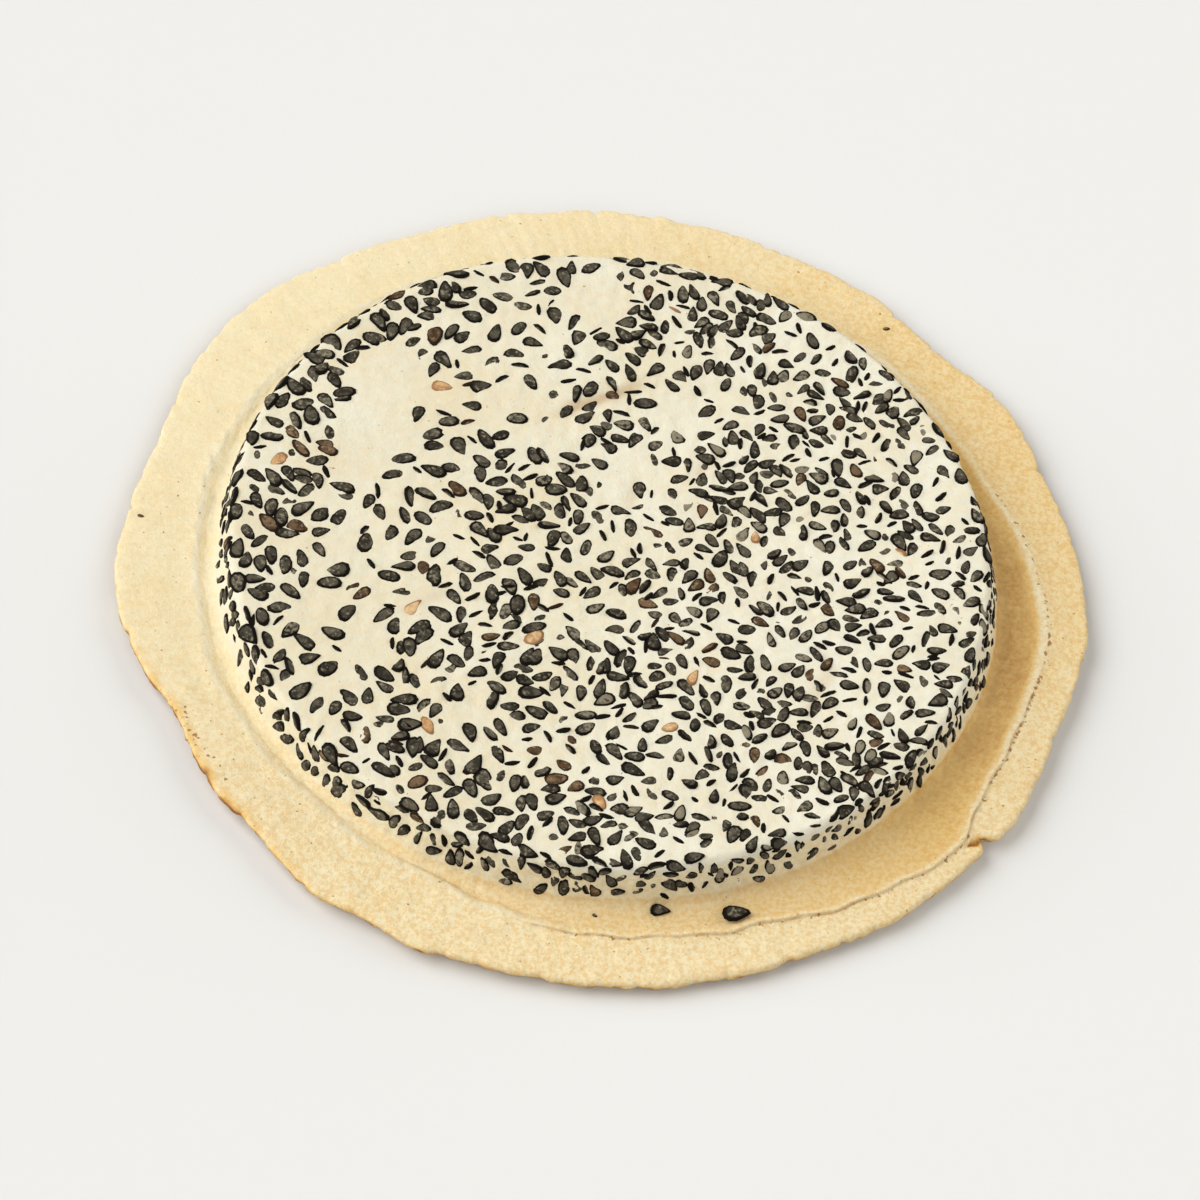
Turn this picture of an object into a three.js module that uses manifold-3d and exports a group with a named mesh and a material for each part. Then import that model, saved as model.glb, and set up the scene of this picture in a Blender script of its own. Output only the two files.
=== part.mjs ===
// A sesame cracker: a thick round disc of baked wheat dough, set with sesame seeds on its top and
// its wall, with a thin ragged flange round its foot where dough squeezed out of the baking mould.
// Millimetres, +Z up. The origin is the centre of the flat underside, where the cracker rests.

import * as THREE from 'three';
import { mergeVertices } from 'three/addons/utils/BufferGeometryUtils.js';
import Module from 'manifold-3d';

// ---------------------------------------------------------------- driving sizes

const FLANGE_RADIUS = 52.5; // mean radius of the ragged outer edge
const RIM_RADIUS = 41.7; // outer radius of the disc at its top rim
const FOOT_RADIUS = 43.3; // where the disc's wall runs out into the flange
const REST_RADIUS = 40.6; // flat underside, pressed by the lower mould

const TOP_HEIGHT = 7.5; // dough at the top of the disc
const FLANGE_TOP = 2.5; // top of the flange beside the wall
const FLANGE_RISE = 1.1; // underside of the flange above the surface it rests on
const EDGE_THICKNESS = 1.0; // the flange at its outer edge

const RIM_ROUNDING = 0.9;
const FOOT_FILLET = 0.6;
const LIP_HEIGHT = 0.6; // torn lip on the flange, where two layers of dough met
const BEAD_HEIGHT = 0.24; // low bead on the flange, beside the wall, where there is no lip
const WARP = 0.35; // how far the edge of the flange curls up and down

const SEED_LENGTH = 2.95;
const SEED_WIDTH = 1.8;
const SEED_PROUD = 0.38; // how far a seed stands out of the dough
const SEED_SUNK = 0.2; // how far its side goes on below the dough
const SEED_FACE = 0.64; // size of its flat face, against its outline where it leaves the dough

// ---------------------------------------------------------------- how fine the solid is

const SEGMENTS = 128;
const SEED_SIDES = 7;
const TOP_GAP = 4.15; // least distance between the middles of two seeds on the top
const WALL_GAP = 5; // and from a seed on the wall to any other
const TOP_TRIES = 2600;
const WALL_TRIES = 420;
const DRAW_START = 20240611;

// ---------------------------------------------------------------- shape helpers

const radians = THREE.MathUtils.degToRad;
const { smoothstep, lerp } = THREE.MathUtils;

// The signed angle from b to a, in degrees, between -180 and 180.
function angleBetween(a, b) {
  return THREE.MathUtils.euclideanModulo(a - b + 180, 360) - 180;
}

// Bulges and bites of the outline: where they are, in degrees round from +X, how wide and how deep.
const OUTLINE_BUMPS = [
  { at: 6, width: 7, rise: 0.75 },
  { at: 30, width: 5, rise: -0.35 },
  { at: 39, width: 6, rise: 0.6 },
  { at: 50, width: 5, rise: -1.4 },
  { at: 70, width: 8, rise: -0.35 },
  { at: 120, width: 7, rise: -0.35 },
  { at: 147, width: 8.5, rise: 1.2 },
  { at: 171, width: 6, rise: -0.6 },
  { at: 193, width: 8, rise: 1.0 },
  { at: 213, width: 7, rise: -1.6 },
  { at: 231, width: 5, rise: -0.7 },
  { at: 242, width: 3, rise: 0.8 },
  { at: 256, width: 4, rise: 0.7 },
  { at: 277, width: 7, rise: 0.3 },
  { at: 302, width: 3.5, rise: -0.5 },
  { at: 336, width: 3.5, rise: 0.4 },
  { at: 347, width: 4, rise: -0.5 },
];

// Radius of the flange's edge at an angle in degrees: the mean, the bumps and a fine raggedness.
function edgeRadius(angle) {
  let radius = FLANGE_RADIUS;
  for (const { at, width, rise } of OUTLINE_BUMPS) {
    radius += rise * Math.exp(-0.5 * (angleBetween(angle, at) / width) ** 2);
  }
  return radius + 0.08 * Math.sin(radians(23 * angle + 40)) + 0.07 * Math.sin(radians(37 * angle));
}

// The torn lip runs round the front and right of the flange, and fades out at both ends.
function lipStrength(angle) {
  const a = angleBetween(angle, 0);
  return smoothstep(a, -116, -98) * (1 - smoothstep(a, 24, 44));
}

// It leaves the foot of the wall at the front, wanders out towards the edge, bulges at the right and
// comes back to the foot of the wall behind.
function lipRadius(angle) {
  const a = angleBetween(angle, 0);
  const outwards = 2 * smoothstep(a, -108, -90) + 2 * smoothstep(a, -66, -48) - 4 * smoothstep(a, -7, 41);
  const bulge = 1.3 * Math.exp(-0.5 * ((a + 37) / 4.5) ** 2) - Math.exp(-0.5 * ((a + 17) / 8) ** 2);
  return 44.9 + outwards + bulge + 0.2 * Math.sin(radians(9 * a)) + 0.15 * Math.sin(radians(21 * a + 50));
}

function rimWobble(angle) {
  return 0.16 * Math.sin(radians(3 * angle + 20)) + 0.1 * Math.sin(radians(7 * angle));
}

function edgeWarp(angle) {
  return WARP * (0.6 * Math.cos(radians(2 * angle - 60)) + 0.4 * Math.cos(radians(3 * angle + 25)));
}

// The rings of the body at an angle, as [radius, height], from the top's rim to the underside.
function bodyProfile(angle) {
  const rim = RIM_RADIUS + rimWobble(angle);
  const foot = FOOT_RADIUS + rimWobble(angle + 15);
  const inner = foot + FOOT_FILLET;
  const crest = lipRadius(angle);
  const hollow = (inner + crest) / 2 - 0.1;
  const lip = LIP_HEIGHT * lipStrength(angle);
  const bead = BEAD_HEIGHT * (1 - lipStrength(angle));
  const edge = edgeRadius(angle);
  const flange = (radius) => {
    const out = (radius - foot) / (edge - foot);
    return FLANGE_TOP + out * edgeWarp(angle) - 0.3 * out;
  };
  const underEdge = flange(edge) - EDGE_THICKNESS;
  return [
    [rim - RIM_ROUNDING, TOP_HEIGHT],
    [rim - 0.27 * RIM_ROUNDING, TOP_HEIGHT - 0.3 * RIM_ROUNDING],
    [rim, TOP_HEIGHT - RIM_ROUNDING],
    [foot - FOOT_FILLET, FLANGE_TOP + 1.4 * FOOT_FILLET],
    [inner, flange(inner) - 0.5 * lip],
    [hollow, flange(hollow) - 0.4 * lip],
    [crest - 0.2, flange(crest) + 0.5 * lip + bead],
    [crest + 0.3, flange(crest) - 0.2 * lip + 0.8 * bead],
    [crest + 1, flange(crest + 1) - 0.1 * lip],
    [edge - 0.5, flange(edge)],
    [edge, flange(edge) - 0.4 * EDGE_THICKNESS],
    [edge - 0.2, underEdge + 0.15 * EDGE_THICKNESS],
    [edge - 0.9, underEdge],
    [REST_RADIUS + 1.3, FLANGE_RISE],
    [REST_RADIUS, 0],
  ];
}

// ---------------------------------------------------------------- the dough

// Rings of points joined by quads, closed by a flat face at the top and one at the underside.
function doughGeometry() {
  const angles = Array.from({ length: SEGMENTS }, (_, i) => (360 * i) / SEGMENTS);
  const profiles = angles.map(bodyProfile);
  const ringCount = profiles[0].length;
  const positions = [];
  for (let ring = 0; ring < ringCount; ring += 1) {
    for (let i = 0; i < SEGMENTS; i += 1) {
      const [radius, height] = profiles[i][ring];
      const turn = radians(angles[i]);
      positions.push(radius * Math.cos(turn), radius * Math.sin(turn), height);
    }
  }
  const indices = [];
  for (let ring = 0; ring + 1 < ringCount; ring += 1) {
    for (let i = 0; i < SEGMENTS; i += 1) {
      const next = (i + 1) % SEGMENTS;
      const upper = ring * SEGMENTS;
      const lower = upper + SEGMENTS;
      indices.push(upper + i, lower + i, lower + next, upper + i, lower + next, upper + next);
    }
  }
  indices.push(...flatFace(positions, 0, true));
  indices.push(...flatFace(positions, ringCount - 1, false));
  const geometry = new THREE.BufferGeometry();
  geometry.setAttribute('position', new THREE.Float32BufferAttribute(positions, 3));
  geometry.setIndex(indices);
  return geometry;
}

// Triangles that fill one ring, facing up or down.
function flatFace(positions, ring, facesUp) {
  const first = ring * SEGMENTS;
  const contour = [];
  for (let i = first; i < first + SEGMENTS; i += 1) {
    contour.push(new THREE.Vector2(positions[3 * i], positions[3 * i + 1]));
  }
  const triangles = THREE.ShapeUtils.triangulateShape(contour, []);
  return triangles.flatMap(([a, b, c]) => {
    const [one, two, three] = [first + a, first + b, first + c];
    return facesUp ? [one, two, three] : [one, three, two];
  });
}

// ---------------------------------------------------------------- the seeds

// A draw of numbers between 0 and 1, the same ones each time, worked out from one starting number.
function makeDraw(start) {
  let state = start;
  return () => {
    state = (state * 48271) % 2147483647;
    return state / 2147483647;
  };
}

// Places on the top, [x, y, radius], where the dough is bare.
const BARE_PATCHES = [
  [-27, 18.5, 5],
  [-27.5, 11.5, 5],
  [-28.5, 6, 3.5],
  [-28.5, -5, 2.5],
  [-30.5, -14.5, 3],
  [-24, -17, 2.8],
  [-12.5, -24.5, 2.5],
  [-6, 34.5, 4],
  [-14, 18, 2.5],
  [-7.5, 14, 2.5],
  [0.5, 11.5, 3],
  [4.5, 21, 3],
];

function isBare(x, y) {
  return BARE_PATCHES.some(([px, py, radius]) => Math.hypot(x - px, y - py) < radius);
}

function isClear(point, seeds, gap) {
  return seeds.every((seed) => seed.point.distanceTo(point) >= gap);
}

// Towards +X the seeds sank deeper into the dough, so they show smaller there.
function sizeAt(x) {
  return lerp(1, 0.86, smoothstep(x, -20, 25));
}

// Seeds on the top, lying flat: drawn evenly over the disc, clear of bare places and each other.
function drawTopSeeds(draw, seeds) {
  const reach = RIM_RADIUS - RIM_ROUNDING - 1.2;
  for (let tries = 0; tries < TOP_TRIES; tries += 1) {
    const distance = reach * Math.sqrt(draw());
    const turn = 2 * Math.PI * draw();
    const heading = 2 * Math.PI * draw();
    const size = lerp(0.9, 1.1, draw());
    const point = new THREE.Vector3(distance * Math.cos(turn), distance * Math.sin(turn), TOP_HEIGHT);
    if (isBare(point.x, point.y) || !isClear(point, seeds, TOP_GAP)) continue;
    seeds.push({ point, heading, size: size * sizeAt(point.x), normal: new THREE.Vector3(0, 0, 1) });
  }
}

// Seeds on the wall, flat against its slope.
function drawWallSeeds(draw, seeds) {
  const wallBottom = FLANGE_TOP + 1.4 * FOOT_FILLET;
  const wallTop = TOP_HEIGHT - RIM_ROUNDING;
  const slope = (FOOT_RADIUS - FOOT_FILLET - RIM_RADIUS) / (wallTop - wallBottom);
  for (let tries = 0; tries < WALL_TRIES; tries += 1) {
    const turn = 2 * Math.PI * draw();
    const up = lerp(0.25, 0.8, draw());
    const heading = 2 * Math.PI * draw();
    const size = lerp(0.85, 1.0, draw());
    const height = lerp(wallBottom, wallTop, up);
    const angle = THREE.MathUtils.radToDeg(turn);
    const rim = RIM_RADIUS + rimWobble(angle);
    const foot = FOOT_RADIUS - FOOT_FILLET + rimWobble(angle + 15);
    const radius = lerp(foot, rim, up);
    const point = new THREE.Vector3(radius * Math.cos(turn), radius * Math.sin(turn), height);
    if (!isClear(point, seeds, WALL_GAP)) continue;
    const normal = new THREE.Vector3(Math.cos(turn), Math.sin(turn), slope).normalize();
    seeds.push({ point, heading, size: size * sizeAt(point.x), normal });
  }
}

// A teardrop outline: half an ellipse at the blunt end, narrowing towards the tip at +X.
function seedOutline(scale) {
  return Array.from({ length: SEED_SIDES }, (_, i) => {
    const turn = (2 * Math.PI * i) / SEED_SIDES;
    const x = 0.5 * SEED_LENGTH * Math.cos(turn);
    const y = 0.5 * SEED_WIDTH * Math.sin(turn) * (1 - 0.3 * Math.cos(turn));
    return new THREE.Vector2(scale * x, scale * y);
  });
}

// One seed, flat with a sloping side that goes on down into the dough.
function seedGeometry() {
  const spread = (1 - SEED_FACE) / SEED_PROUD;
  const levels = [
    { outline: seedOutline(1 + spread * SEED_SUNK), height: -SEED_SUNK },
    { outline: seedOutline(SEED_FACE), height: SEED_PROUD },
  ];
  const positions = levels.flatMap(({ outline, height }) => outline.flatMap(({ x, y }) => [x, y, height]));
  const indices = [];
  for (let i = 0; i < SEED_SIDES; i += 1) {
    const next = (i + 1) % SEED_SIDES;
    indices.push(i, next, SEED_SIDES + next, i, SEED_SIDES + next, SEED_SIDES + i);
  }
  for (let i = 1; i + 1 < SEED_SIDES; i += 1) {
    indices.push(0, i + 1, i);
    indices.push(SEED_SIDES, SEED_SIDES + i, SEED_SIDES + i + 1);
  }
  const geometry = new THREE.BufferGeometry();
  geometry.setAttribute('position', new THREE.Float32BufferAttribute(positions, 3));
  geometry.setIndex(indices);
  return geometry;
}

// The seed's own place: its flat side along the dough, turned by its heading.
function seedMatrix({ point, heading, size, normal }) {
  const stand = new THREE.Quaternion().setFromUnitVectors(new THREE.Vector3(0, 0, 1), normal);
  const turn = new THREE.Quaternion().setFromAxisAngle(new THREE.Vector3(0, 0, 1), heading);
  return new THREE.Matrix4().compose(point, stand.multiply(turn), new THREE.Vector3(size, size, 1));
}

// ---------------------------------------------------------------- joining

const wasm = await Module();
wasm.setup();

function toSolid(geometry) {
  const merged = mergeVertices(geometry);
  const mesh = new wasm.Mesh({
    numProp: 3,
    vertProperties: new Float32Array(merged.attributes.position.array),
    triVerts: new Uint32Array(merged.index.array),
  });
  return new wasm.Manifold(mesh);
}

function toGeometry(solid) {
  const { vertProperties, triVerts } = solid.getMesh();
  const geometry = new THREE.BufferGeometry();
  geometry.setAttribute('position', new THREE.BufferAttribute(vertProperties, 3));
  geometry.setIndex(new THREE.BufferAttribute(triVerts, 1));
  geometry.computeVertexNormals();
  return geometry;
}

// Moves a geometry sideways, so that its box is centred on the origin.
function centreOnOrigin(geometry) {
  geometry.computeBoundingBox();
  const middle = geometry.boundingBox.getCenter(new THREE.Vector3());
  return geometry.translate(-middle.x, -middle.y, 0);
}

function makeCracker() {
  const draw = makeDraw(DRAW_START);
  const seeds = [];
  drawTopSeeds(draw, seeds);
  drawWallSeeds(draw, seeds);
  let solid = toSolid(doughGeometry());
  for (const seed of seeds) {
    solid = solid.add(toSolid(seedGeometry().applyMatrix4(seedMatrix(seed))));
  }
  const bakedDough = new THREE.MeshStandardMaterial({ color: 0xeee3c6, roughness: 0.8, metalness: 0 });
  const cracker = new THREE.Mesh(centreOnOrigin(toGeometry(solid)), bakedDough);
  cracker.name = 'cracker';
  return cracker;
}

const sesameCracker = new THREE.Group();
sesameCracker.add(makeCracker());

export default sesameCracker;
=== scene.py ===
# %% [markdown]
# # A sesame cracker
# This lesson dresses one baked wheat cracker: a thick round disc of pale dough with black sesame
# seeds pressed into its top and wall, and a thin ragged flange round its foot. The solid model
# gives the true sizes. Here the dough becomes one fine closed surface, and the seeds become
# three pieces: the charcoal ones, the brown ones and the few golden ones.

import bpy
import numpy as np
from mathutils import Matrix, Vector


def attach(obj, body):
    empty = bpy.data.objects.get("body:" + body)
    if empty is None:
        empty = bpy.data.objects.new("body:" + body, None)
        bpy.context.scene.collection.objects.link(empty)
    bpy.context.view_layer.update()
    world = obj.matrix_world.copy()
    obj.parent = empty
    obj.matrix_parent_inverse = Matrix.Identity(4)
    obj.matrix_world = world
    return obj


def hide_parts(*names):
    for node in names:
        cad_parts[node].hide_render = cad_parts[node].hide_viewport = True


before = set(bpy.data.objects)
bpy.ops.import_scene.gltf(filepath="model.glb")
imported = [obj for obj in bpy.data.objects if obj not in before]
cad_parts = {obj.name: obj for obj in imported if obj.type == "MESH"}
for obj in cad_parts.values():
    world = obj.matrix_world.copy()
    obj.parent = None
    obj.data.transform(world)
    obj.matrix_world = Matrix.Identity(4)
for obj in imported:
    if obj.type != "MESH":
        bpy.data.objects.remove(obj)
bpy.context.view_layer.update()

# %% [markdown]
# ## Sizes
# The dough keeps the solid's own measures, in millimetres, so that both stay one object. Every
# shape below is worked out from them, and each mesh is turned into metres once, when it is made.

# %% The driving sizes, in millimetres
MM = 0.001
FLANGE_RADIUS, RIM_RADIUS, FOOT_RADIUS, REST_RADIUS = 52.5, 41.7, 43.3, 40.6
TOP_HEIGHT, FLANGE_TOP, FLANGE_RISE, EDGE_THICKNESS = 7.5, 2.5, 1.1, 1.0
RIM_ROUNDING, FOOT_FILLET, LIP_HEIGHT, BEAD_HEIGHT, WARP = 0.9, 0.6, 0.6, 0.24, 0.35
EDGE_ROUNDING, EDGE_DROP, LIP_REACH, REST_ROUNDING = 0.45, 0.3, 0.55, 1.3
TOP_RADIUS = RIM_RADIUS - RIM_ROUNDING
WALL_LOW, WALL_HIGH = FLANGE_TOP + 1.4 * FOOT_FILLET, TOP_HEIGHT - RIM_ROUNDING
SEED_LENGTH, SEED_WIDTH, SEED_THICKNESS = 2.95, 1.8, 0.85
print("the dough is", TOP_HEIGHT, "mm thick, and its flange reaches",
      round(FLANGE_RADIUS - FOOT_RADIUS, 1), "mm past the wall")

# %% [markdown]
# ## The outline
# Dough that squeezes out of a mould tears where it likes. The edge is a circle with a few named
# bulges and bites, each a smooth bell over some degrees, and a fine raggedness made of short
# waves. A hand-drawn curve would do as well, but a bulge with a place, a width and a size is
# easy to move. The short waves only bite inwards, so that the edge stays in the solid's box.

# %% The edge's radius round the cracker
BUMPS = [  # where in degrees from +X, how many degrees wide, how far out
    (6, 7, 0.75), (30, 5, -0.35), (39, 6, 0.6), (50, 5, -1.4), (70, 8, -0.35), (120, 7, -0.35),
    (147, 8.5, 1.2), (171, 6, -0.6), (193, 8, 1.0), (213, 7, -1.6), (231, 5, -0.7), (242, 3, 0.8),
    (256, 4, 0.7), (277, 7, 0.3), (302, 3.5, -0.5), (336, 3.5, 0.4), (347, 4, -0.5),
]
TEAR_ANGLE, TEAR_DEPTH = -30.5, 0.9  # a short tear runs in from the edge here


def sine(degrees):
    """The sine of an angle in degrees."""
    return np.sin(np.radians(degrees))


def between(a, b):
    """The signed angle from b to a, from -180 to 180 degrees."""
    return (a - b + 180) % 360 - 180


def bell(x, width):
    """exp(-(x / width)^2 / 2): 1 at the middle, falling away to both sides."""
    return np.exp(-0.5 * (x / width) ** 2)


def smoothstep(x, low, high):
    """3 t^2 - 2 t^3, where t goes from 0 to 1 as x goes from low to high."""
    t = np.clip((x - low) / (high - low), 0, 1)
    return t * t * (3 - 2 * t)


def edge_radius(angle):
    """The mean radius, plus each bump's bell, plus two short waves of 23 and 37 turns."""
    radius = FLANGE_RADIUS + 0.08 * sine(23 * angle + 40) + 0.07 * sine(37 * angle)
    for at, width, rise in BUMPS:
        radius = radius + rise * bell(between(angle, at), width)
    return radius


def edge_bite(angle):
    """How far the torn edge bites in: short waves of 61 to 211 turns, where their sum is below 0,
    plus a narrow bell, the notch at the tear."""
    torn = sine(61 * angle) + 0.8 * sine(97 * angle + 30)
    torn = torn + 0.7 * sine(149 * angle) + 0.5 * sine(211 * angle)
    return 0.13 * np.clip(-torn, 0, None) + TEAR_DEPTH * bell(between(angle, TEAR_ANGLE), 0.5)


edge_all_round = edge_radius(np.arange(0, 360, 0.5))
print("the edge lies between", edge_all_round.min().round(2), "and",
      edge_all_round.max().round(2), "mm from the middle")

# %% [markdown]
# ## The torn lip
# Round the front and the right, the flange carries a low lip where two layers of dough met. It
# starts near the foot of the wall at the front left, runs out to the middle of the flange at the
# front right, and comes back in at the right, where it softens into a pressed ridge. It could be
# sculpted, but its place and its height as two functions of the angle, as the edge is, let the
# mesh and the colours follow one line.

# %% The lip, the wall's wobble and the flange's curl
def lip_strength(angle):
    """1 where the lip is fully raised, fading to 0 past its two ends."""
    a = between(angle, 0)
    return smoothstep(a, -116, -98) * (1 - smoothstep(a, 24, 44))


def lip_radius(angle):
    """44.9 mm, plus two smooth steps out on the way round the front, less a long one at the right,
    plus a bell for a bulge, less one for a dip, plus two waves of 9 and 21 turns."""
    a = between(angle, 0)
    outwards = 2 * smoothstep(a, -108, -90) + 2 * smoothstep(a, -66, -48) - 4 * smoothstep(a, -7, 41)
    bulge = 1.3 * bell(a + 37, 4.5) - bell(a + 17, 8)
    return 44.9 + outwards + bulge + 0.2 * sine(9 * a) + 0.15 * sine(21 * a + 50)


def rim_wobble(angle):
    """Two slow waves, of 3 and 7 turns, that keep the disc from being a true circle."""
    return 0.16 * sine(3 * angle + 20) + 0.1 * sine(7 * angle)


def edge_warp(angle):
    """How far the flange's edge curls up or down: two slow waves, of 2 and 3 turns."""
    return WARP * (0.6 * sine(2 * angle + 30) + 0.4 * sine(3 * angle + 115))


def box_middle():
    """The middle of the solid's outline, which is moved onto the origin: its 128 corners' box."""
    corners = 360 * np.arange(128) / 128
    x = edge_radius(corners) * sine(corners + 90)
    y = edge_radius(corners) * sine(corners)
    return np.array([(x.max() + x.min()) / 2, (y.max() + y.min()) / 2, 0])


MIDDLE = box_middle()
print("the outline's middle, in mm:", MIDDLE.round(3))

# %% [markdown]
# ## Unevenness
# Baked dough is never flat. A good unevenness can be added up from plain sine waves with headings
# and lengths drawn at random: a few dozen of them already look like nothing regular. The draw
# has a fixed start, so that the cracker comes out the same each time.

# %% Waves in all directions
def waves(points, size, start, count=22):
    """The sum of `count` sine waves over the points, each with a heading, a phase and a length of
    0.7 to 1.4 times `size` mm of its own, divided so that its usual swing is 1."""
    rng = np.random.default_rng(start)
    headings = rng.normal(size=(count, 3))
    headings /= np.linalg.norm(headings, axis=1, keepdims=True)
    turns = 2 * np.pi / (size * rng.uniform(0.7, 1.4, count))
    phases = rng.uniform(0, 2 * np.pi, count)
    total = np.zeros(points.shape[:-1])
    for heading, turn, phase in zip(headings, turns, phases):
        total += np.sin(points @ heading * turn + phase)
    return total / np.sqrt(count / 2)


CREASES = [  # folds in the top: from x, y to x, y, then half width and depth
    (-9.0, 16.0, 1.8, 25.0, 0.55, 0.20), (1.3, 5.0, 2.6, 12.0, 0.5, 0.10),
    (7.0, 9.5, 11.5, 17.5, 0.5, 0.10), (-22.0, -14.0, -14.0, -7.0, 0.6, 0.06),
    (24.0, -19.5, 25.8, -9.5, 0.5, 0.10), (-6.0, 22.5, -1.0, 22.0, 0.5, 0.08),
]


def crease_depth(x, y):
    """Depth of the folds: each is a bell over the distance to its line, which bends as a slow
    wave, and it tapers off over 4 mm at both ends."""
    depth = np.zeros(np.shape(x))
    for x0, y0, x1, y1, width, deep in CREASES:
        length = np.hypot(x1 - x0, y1 - y0)
        along = ((x - x0) * (x1 - x0) + (y - y0) * (y1 - y0)) / length
        across = ((y - y0) * (x1 - x0) - (x - x0) * (y1 - y0)) / length
        bend = 0.35 * np.sin(along / 2.3)
        taper = smoothstep(along, 0, 4) * (1 - smoothstep(along, length - 4, length))
        depth = depth + deep * taper * bell(across - bend, width)
    return depth


def top_relief(x, y):
    """Height of the top over its flat: a slow swell, two finer ones, less the folds."""
    points = np.stack([x, y, np.zeros(np.shape(x))], axis=-1)
    swell = 0.055 * waves(points, 24, 11)
    fine = 0.025 * waves(points, 3.2, 12) + 0.028 * waves(points, 1.3, 13)
    return swell + fine - crease_depth(x, y) - 0.02


some_places = np.random.default_rng(1).uniform(-30, 30, (2, 500))
print("the top rises and falls by about", top_relief(*some_places).std().round(3), "mm")

# %% [markdown]
# ## The top as a grid
# A disc made of rings has needles at its middle and wide cells at its rim. A square grid bent
# into a disc has cells of one size all over, which matters here, because seeds come through the
# dough everywhere. Its border has four times as many points as its side, evenly spaced in
# angle, so the wall and the flange go on from it as rings.

# %% A square grid bent into a disc
CELLS = 208
ROUND = 4 * CELLS
ANGLES = -45 + 360 * np.arange(ROUND) / ROUND


def disc_grid(cells):
    """With u and v from -1 to 1: where |u| > |v| a point has radius u and angle 45 v / u degrees,
    and elsewhere radius v and angle 90 - 45 u / v. Gives x and y on a disc of radius 1."""
    side = np.linspace(-1, 1, cells + 1)
    u, v = np.meshgrid(side, side, indexing="ij")
    wide = np.abs(u) > np.abs(v)
    radius = np.where(wide, u, v)
    divisor = np.where(radius == 0, 1, radius)
    angle = np.where(wide, 45 * v / divisor, 90 - 45 * u / divisor)
    return (radius * sine(angle + 90)).ravel(), (radius * sine(angle)).ravel()


def grid_border(cells):
    """The grid's border points in turn, anticlockwise from the corner at -45 degrees."""
    index = np.arange((cells + 1) ** 2).reshape(cells + 1, cells + 1)
    return np.concatenate([index[-1, :-1], index[:0:-1, -1], index[0, :0:-1], index[:-1, 0]])


def grid_quads(cells):
    """One quad for each cell, anticlockwise seen from above."""
    index = np.arange((cells + 1) ** 2).reshape(cells + 1, cells + 1)
    return np.stack([index[:-1, :-1], index[1:, :-1], index[1:, 1:], index[:-1, 1:]], -1).reshape(-1, 4)


unit_x, unit_y = disc_grid(CELLS)
top_scale = TOP_RADIUS + rim_wobble(np.degrees(np.arctan2(unit_y, unit_x)))
top_x, top_y = unit_x * top_scale, unit_y * top_scale
top_points = np.stack([top_x, top_y, TOP_HEIGHT + top_relief(top_x, top_y)], -1)
print("the top has", len(top_points), "points about", round(2 * RIM_RADIUS / CELLS, 2), "mm apart")

# %% [markdown]
# ## From the rim to the underside
# The rest of the dough is a profile carried round the cracker: a rounded rim, a steep wall, a
# fillet, a smooth hollow, the torn lip, the rough flange, its thin edge, and back underneath to
# the flat rest. A lathe would turn one profile all round, but here it changes with the angle. So
# each stretch is a formula in t from 0 to 1, worked out for all angles at once.

# %% The lines that the profile follows
TURN = between(ANGLES, 0)  # each ring point's angle from +X, from -180 to 180 degrees
RIM = RIM_RADIUS + rim_wobble(ANGLES)
FOOT = FOOT_RADIUS + rim_wobble(ANGLES + 15)
EDGE = edge_radius(ANGLES) - edge_bite(ANGLES)
RAISED = lip_strength(ANGLES)
LIP, BEAD = LIP_HEIGHT * RAISED, BEAD_HEIGHT * (1 - RAISED)
CRISP = 1 - smoothstep(TURN, -22, 0)  # 1 where the lip is torn, 0 where it is a soft ridge
STEP = CRISP * (0.4 * smoothstep(TURN, -104, -86) + 0.2 * smoothstep(TURN, -80, -60))
CREST = lip_radius(ANGLES) + (0.12 * sine(53 * ANGLES) + 0.1 * sine(31 * ANGLES)) * RAISED * CRISP


def flange_height(radius):
    """The flange's top: level at the foot, then dropping and curling in step with the share of
    the way out. Where there is no lip, a low bead of bell shape runs along its line instead."""
    out = (radius - FOOT) / (edge_radius(ANGLES) - FOOT)
    return FLANGE_TOP + out * edge_warp(ANGLES) - EDGE_DROP * out + BEAD * bell(radius - CREST, 0.7)


def steps(count):
    """t from just past 0 up to 1 in `count` steps, as a column."""
    return (np.arange(1, count + 1) / count)[:, None]


print("the lip's crest lies between", CREST.min().round(1), "and", CREST.max().round(1), "mm out")

# %% From the rim to the hollow
RIM_RINGS = 6


def rim_stretch():
    """A quarter circle: radius + R sin(90 t), height + R cos(90 t), with R the rounding."""
    t = steps(RIM_RINGS)
    radius = RIM - RIM_ROUNDING + RIM_ROUNDING * sine(90 * t)
    return radius, TOP_HEIGHT - RIM_ROUNDING * (1 - sine(90 - 90 * t)) + 0 * RIM


def wall_stretch():
    """A straight slope from the rim down to the top of the fillet."""
    t = steps(9)
    return RIM + (FOOT - FOOT_FILLET - RIM) * t, WALL_HIGH + (WALL_LOW - WALL_HIGH) * t + 0 * RIM


def fillet_stretch():
    """A curve (1-t)^2 A + 2 t (1-t) B + t^2 C from the wall into the flange, B at their corner."""
    t = steps(5)
    outer = FOOT + FOOT_FILLET
    a, b, c = FOOT - FOOT_FILLET, FOOT - 0.4 * FOOT_FILLET, outer
    low = flange_height(outer) - 0.5 * LIP
    blend = (1 - t) ** 2, 2 * t * (1 - t), t ** 2
    radius = blend[0] * a + blend[1] * b + blend[2] * c
    return radius, blend[0] * WALL_LOW + (blend[1] + blend[2]) * low


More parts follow.
